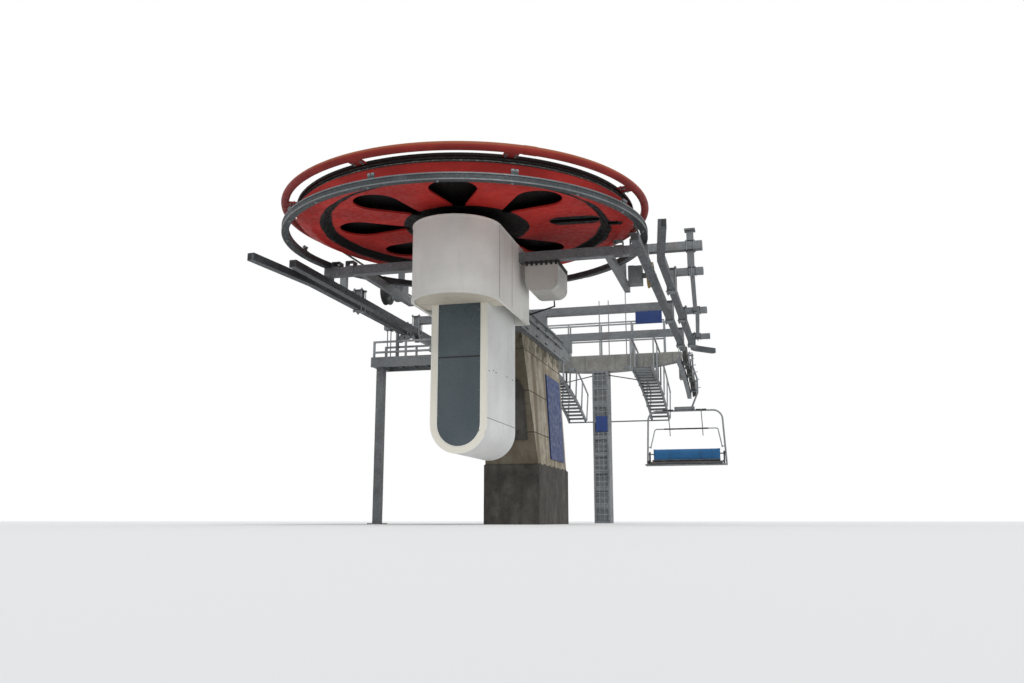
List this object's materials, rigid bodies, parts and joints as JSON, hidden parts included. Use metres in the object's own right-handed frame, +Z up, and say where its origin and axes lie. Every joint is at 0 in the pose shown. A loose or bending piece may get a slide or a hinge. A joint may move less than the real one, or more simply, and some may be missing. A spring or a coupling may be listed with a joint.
{
  "type": "chairlift",
  "caption": "Chairlift return station: bullwheel with guard and guide rings on a concrete pillar, haul rope over a line tower's sheaves, and one quad chair.",
  "frame": {"origin": "centre of the plinth's foot, on the floor", "axes": "+X to the right of the line, +Y along the line from the bullwheel to the tower, +Z up"},
  "size_m": [7.18, 19.8457, 7.6],
  "materials": {
    "dark_concrete": "rough, stained",
    "pale_concrete": "rough, stained",
    "blue_paint": "satin",
    "galvanised": "matt galvanised",
    "white_paint": "satin",
    "slate_paint": "satin",
    "red_paint": "satin",
    "liner_rubber": "matt",
    "rope_steel": "oiled strand",
    "dark_paint": "satin",
    "grey_paint": "satin",
    "sheave_rubber": "matt",
    "black_fabric": "coated fabric"
  },
  "bodies": {
    "station": {"battery_beams": "galvanised", "capsule_panels": "slate_paint", "capsule_shell": "white_paint", "carriers": "galvanised", "catwalk_rails": "galvanised", "catwalk_ties": "galvanised", "catwalks": "galvanised", "crossbeams": "galvanised", "drive_cover": "grey_paint", "drive_cover_lid": "dark_paint", "front_beam": "galvanised", "girder": "galvanised", "grip": "galvanised", "guide_ring": "dark_paint", "hood": "white_paint", "outer_frame_left": "galvanised", "outer_frame_right": "galvanised", "pillar": "pale_concrete", "platform": "galvanised", "platform_column": "galvanised", "platform_rails": "galvanised", "plinth": "dark_concrete", "rails_inner": "galvanised", "rails_outer": "galvanised", "rockers": "galvanised", "rope_runs": "rope_steel", "rope_wrap": "rope_steel", "side_panel": "blue_paint", "support_brackets": "galvanised", "tail_beam": "galvanised", "tower_column": "galvanised", "tower_crosshead": "galvanised", "tower_plate": "blue_paint", "tower_rails": "galvanised", "wheel_mast": "dark_paint"},
    "bullwheel": {"bullwheel": "red_paint", "wheel_liner": "liner_rubber", "guard_ring": "red_paint", "wheel_deck": "red_paint"},
    "chair": {"chair_hanger": "galvanised", "chair_frame": "galvanised", "seat_pan": "dark_paint", "seat_pad": "black_fabric", "backrest": "blue_paint"},
    "restraint": {"restraint_bar": "galvanised"},
    "sheave_right_1": {"sheave_right_1": "sheave_rubber"},
    "sheave_right_2": {"sheave_right_2": "sheave_rubber"},
    "sheave_right_3": {"sheave_right_3": "sheave_rubber"},
    "sheave_right_4": {"sheave_right_4": "sheave_rubber"},
    "sheave_right_5": {"sheave_right_5": "sheave_rubber"},
    "sheave_right_6": {"sheave_right_6": "sheave_rubber"},
    "sheave_left_1": {"sheave_left_1": "sheave_rubber"},
    "sheave_left_2": {"sheave_left_2": "sheave_rubber"},
    "sheave_left_3": {"sheave_left_3": "sheave_rubber"},
    "sheave_left_4": {"sheave_left_4": "sheave_rubber"},
    "sheave_left_5": {"sheave_left_5": "sheave_rubber"},
    "sheave_left_6": {"sheave_left_6": "sheave_rubber"},
    "support_sheave_right": {"support_sheave_right": "sheave_rubber"},
    "support_sheave_left": {"support_sheave_left": "sheave_rubber"}
  },
  "joints": [
    {"name": "bullwheel_spin", "type": "hinge", "parent": "station", "child": "bullwheel", "pos_m": [0, -4.115, 4.75], "axis": [0, 0, 1], "continuous": true},
    {"name": "sheave_right_1_spin", "type": "hinge", "parent": "station", "child": "sheave_right_1", "pos_m": [2.6, 7.37826, 4.4975], "axis": [1, 0, 0], "continuous": true},
    {"name": "sheave_right_2_spin", "type": "hinge", "parent": "station", "child": "sheave_right_2", "pos_m": [2.6, 8.08782, 4.46431], "axis": [1, 0, 0], "continuous": true},
    {"name": "sheave_right_3_spin", "type": "hinge", "parent": "station", "child": "sheave_right_3", "pos_m": [2.6, 8.79554, 4.40339], "axis": [1, 0, 0], "continuous": true},
    {"name": "sheave_right_4_spin", "type": "hinge", "parent": "station", "child": "sheave_right_4", "pos_m": [2.6, 9.50033, 4.31483], "axis": [1, 0, 0], "continuous": true},
    {"name": "sheave_right_5_spin", "type": "hinge", "parent": "station", "child": "sheave_right_5", "pos_m": [2.6, 10.20112, 4.19876], "axis": [1, 0, 0], "continuous": true},
    {"name": "sheave_right_6_spin", "type": "hinge", "parent": "station", "child": "sheave_right_6", "pos_m": [2.6, 10.89684, 4.05537], "axis": [1, 0, 0], "continuous": true},
    {"name": "support_sheave_right_spin", "type": "hinge", "parent": "station", "child": "support_sheave_right", "pos_m": [2.6, -1.115, 4.5042], "axis": [1, 0, 0], "continuous": true},
    {"name": "sheave_left_1_spin", "type": "hinge", "parent": "station", "child": "sheave_left_1", "pos_m": [-2.6, 7.37826, 4.4975], "axis": [1, 0, 0], "continuous": true},
    {"name": "sheave_left_2_spin", "type": "hinge", "parent": "station", "child": "sheave_left_2", "pos_m": [-2.6, 8.08782, 4.46431], "axis": [1, 0, 0], "continuous": true},
    {"name": "sheave_left_3_spin", "type": "hinge", "parent": "station", "child": "sheave_left_3", "pos_m": [-2.6, 8.79554, 4.40339], "axis": [1, 0, 0], "continuous": true},
    {"name": "sheave_left_4_spin", "type": "hinge", "parent": "station", "child": "sheave_left_4", "pos_m": [-2.6, 9.50033, 4.31483], "axis": [1, 0, 0], "continuous": true},
    {"name": "sheave_left_5_spin", "type": "hinge", "parent": "station", "child": "sheave_left_5", "pos_m": [-2.6, 10.20112, 4.19876], "axis": [1, 0, 0], "continuous": true},
    {"name": "sheave_left_6_spin", "type": "hinge", "parent": "station", "child": "sheave_left_6", "pos_m": [-2.6, 10.89684, 4.05537], "axis": [1, 0, 0], "continuous": true},
    {"name": "support_sheave_left_spin", "type": "hinge", "parent": "station", "child": "support_sheave_left", "pos_m": [-2.6, -1.115, 4.5042], "axis": [1, 0, 0], "continuous": true},
    {"name": "chair_swing", "type": "hinge", "parent": "station", "child": "chair", "pos_m": [2.6, 8.46306, 4.6822], "axis": [1, 0, 0], "range_deg": [-20, 20]},
    {"name": "restraint_swing", "type": "hinge", "parent": "chair", "child": "restraint", "pos_m": [2.45, 8.58872, 2.1122], "axis": [1, 0, 0], "range_deg": [0, 115]}
  ]
}
